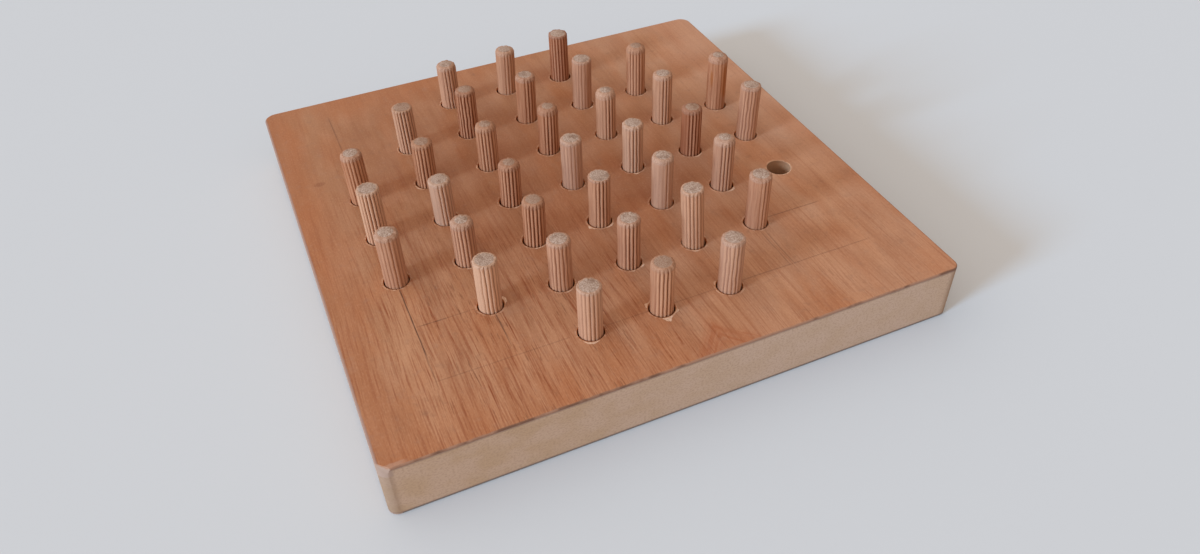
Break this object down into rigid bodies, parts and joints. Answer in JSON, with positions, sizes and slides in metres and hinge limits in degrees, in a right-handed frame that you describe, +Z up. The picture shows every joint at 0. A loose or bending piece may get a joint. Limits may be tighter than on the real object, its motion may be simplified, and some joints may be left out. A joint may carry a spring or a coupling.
{
  "type": "peg solitaire board",
  "caption": "Square wooden peg solitaire board: fluted dowel pegs stand loose in drilled holes of a cross-shaped grid, with a hole left empty.",
  "frame": {"origin": "centre of the board's underside, on the surface that it rests on", "axes": "+Z up out of the playing face; +X along a row from file a to file g; +Y along a file from the near edge (rank 1) to the far edge (rank 7)"},
  "size_m": [0.2, 0.2, 0.0458],
  "materials": {
    "veneer": "warm orange-brown wood veneer with dark pores, thin satin finish",
    "fibreboard": "sawn and sanded fibreboard edge, matt, pinkish beige",
    "dowel": "bare beech dowel, matt, with greyish end grain"
  },
  "bodies": {
    "board": {"board": "veneer"},
    "peg_c7": {"peg_c7": "dowel"},
    "peg_d7": {"peg_d7": "dowel"},
    "peg_e7": {"peg_e7": "dowel"},
    "peg_b6": {"peg_b6": "dowel"},
    "peg_c6": {"peg_c6": "dowel"},
    "peg_d6": {"peg_d6": "dowel"},
    "peg_e6": {"peg_e6": "dowel"},
    "peg_f6": {"peg_f6": "dowel"},
    "peg_a5": {"peg_a5": "dowel"},
    "peg_b5": {"peg_b5": "dowel"},
    "peg_c5": {"peg_c5": "dowel"},
    "peg_d5": {"peg_d5": "dowel"},
    "peg_e5": {"peg_e5": "dowel"},
    "peg_f5": {"peg_f5": "dowel"},
    "peg_g5": {"peg_g5": "dowel"},
    "peg_a4": {"peg_a4": "dowel"},
    "peg_b4": {"peg_b4": "dowel"},
    "peg_c4": {"peg_c4": "dowel"},
    "peg_d4": {"peg_d4": "dowel"},
    "peg_e4": {"peg_e4": "dowel"},
    "peg_f4": {"peg_f4": "dowel"},
    "peg_g4": {"peg_g4": "dowel"},
    "peg_a3": {"peg_a3": "dowel"},
    "peg_b3": {"peg_b3": "dowel"},
    "peg_c3": {"peg_c3": "dowel"},
    "peg_d3": {"peg_d3": "dowel"},
    "peg_e3": {"peg_e3": "dowel"},
    "peg_f3": {"peg_f3": "dowel"},
    "peg_b2": {"peg_b2": "dowel"},
    "peg_c2": {"peg_c2": "dowel"},
    "peg_d2": {"peg_d2": "dowel"},
    "peg_e2": {"peg_e2": "dowel"},
    "peg_f2": {"peg_f2": "dowel"},
    "peg_c1": {"peg_c1": "dowel"},
    "peg_d1": {"peg_d1": "dowel"},
    "peg_e1": {"peg_e1": "dowel"}
  },
  "joints": [
    {"name": "lift_c7", "type": "slide", "parent": "board", "child": "peg_c7", "axis": [0, 0, 1], "range_m": [0, 0.03]},
    {"name": "lift_d7", "type": "slide", "parent": "board", "child": "peg_d7", "axis": [0, 0, 1], "range_m": [0, 0.03]},
    {"name": "lift_e7", "type": "slide", "parent": "board", "child": "peg_e7", "axis": [0, 0, 1], "range_m": [0, 0.03]},
    {"name": "lift_b6", "type": "slide", "parent": "board", "child": "peg_b6", "axis": [0, 0, 1], "range_m": [0, 0.03]},
    {"name": "lift_c6", "type": "slide", "parent": "board", "child": "peg_c6", "axis": [0, 0, 1], "range_m": [0, 0.03]},
    {"name": "lift_d6", "type": "slide", "parent": "board", "child": "peg_d6", "axis": [0, 0, 1], "range_m": [0, 0.03]},
    {"name": "lift_e6", "type": "slide", "parent": "board", "child": "peg_e6", "axis": [0, 0, 1], "range_m": [0, 0.03]},
    {"name": "lift_f6", "type": "slide", "parent": "board", "child": "peg_f6", "axis": [0, 0, 1], "range_m": [0, 0.03]},
    {"name": "lift_a5", "type": "slide", "parent": "board", "child": "peg_a5", "axis": [0, 0, 1], "range_m": [0, 0.03]},
    {"name": "lift_b5", "type": "slide", "parent": "board", "child": "peg_b5", "axis": [0, 0, 1], "range_m": [0, 0.03]},
    {"name": "lift_c5", "type": "slide", "parent": "board", "child": "peg_c5", "axis": [0, 0, 1], "range_m": [0, 0.03]},
    {"name": "lift_d5", "type": "slide", "parent": "board", "child": "peg_d5", "axis": [0, 0, 1], "range_m": [0, 0.03]},
    {"name": "lift_e5", "type": "slide", "parent": "board", "child": "peg_e5", "axis": [0, 0, 1], "range_m": [0, 0.03]},
    {"name": "lift_f5", "type": "slide", "parent": "board", "child": "peg_f5", "axis": [0, 0, 1], "range_m": [0, 0.03]},
    {"name": "lift_g5", "type": "slide", "parent": "board", "child": "peg_g5", "axis": [0, 0, 1], "range_m": [0, 0.03]},
    {"name": "lift_a4", "type": "slide", "parent": "board", "child": "peg_a4", "axis": [0, 0, 1], "range_m": [0, 0.03]},
    {"name": "lift_b4", "type": "slide", "parent": "board", "child": "peg_b4", "axis": [0, 0, 1], "range_m": [0, 0.03]},
    {"name": "lift_c4", "type": "slide", "parent": "board", "child": "peg_c4", "axis": [0, 0, 1], "range_m": [0, 0.03]},
    {"name": "lift_d4", "type": "slide", "parent": "board", "child": "peg_d4", "axis": [0, 0, 1], "range_m": [0, 0.03]},
    {"name": "lift_e4", "type": "slide", "parent": "board", "child": "peg_e4", "axis": [0, 0, 1], "range_m": [0, 0.03]},
    {"name": "lift_f4", "type": "slide", "parent": "board", "child": "peg_f4", "axis": [0, 0, 1], "range_m": [0, 0.03]},
    {"name": "lift_g4", "type": "slide", "parent": "board", "child": "peg_g4", "axis": [0, 0, 1], "range_m": [0, 0.03]},
    {"name": "lift_a3", "type": "slide", "parent": "board", "child": "peg_a3", "axis": [0, 0, 1], "range_m": [0, 0.03]},
    {"name": "lift_b3", "type": "slide", "parent": "board", "child": "peg_b3", "axis": [0, 0, 1], "range_m": [0, 0.03]},
    {"name": "lift_c3", "type": "slide", "parent": "board", "child": "peg_c3", "axis": [0, 0, 1], "range_m": [0, 0.03]},
    {"name": "lift_d3", "type": "slide", "parent": "board", "child": "peg_d3", "axis": [0, 0, 1], "range_m": [0, 0.03]},
    {"name": "lift_e3", "type": "slide", "parent": "board", "child": "peg_e3", "axis": [0, 0, 1], "range_m": [0, 0.03]},
    {"name": "lift_f3", "type": "slide", "parent": "board", "child": "peg_f3", "axis": [0, 0, 1], "range_m": [0, 0.03]},
    {"name": "lift_b2", "type": "slide", "parent": "board", "child": "peg_b2", "axis": [0, 0, 1], "range_m": [0, 0.03]},
    {"name": "lift_c2", "type": "slide", "parent": "board", "child": "peg_c2", "axis": [0, 0, 1], "range_m": [0, 0.03]},
    {"name": "lift_d2", "type": "slide", "parent": "board", "child": "peg_d2", "axis": [0, 0, 1], "range_m": [0, 0.03]},
    {"name": "lift_e2", "type": "slide", "parent": "board", "child": "peg_e2", "axis": [0, 0, 1], "range_m": [0, 0.03]},
    {"name": "lift_f2", "type": "slide", "parent": "board", "child": "peg_f2", "axis": [0, 0, 1], "range_m": [0, 0.03]},
    {"name": "lift_c1", "type": "slide", "parent": "board", "child": "peg_c1", "axis": [0, 0, 1], "range_m": [0, 0.03]},
    {"name": "lift_d1", "type": "slide", "parent": "board", "child": "peg_d1", "axis": [0, 0, 1], "range_m": [0, 0.03]},
    {"name": "lift_e1", "type": "slide", "parent": "board", "child": "peg_e1", "axis": [0, 0, 1], "range_m": [0, 0.03]}
  ]
}
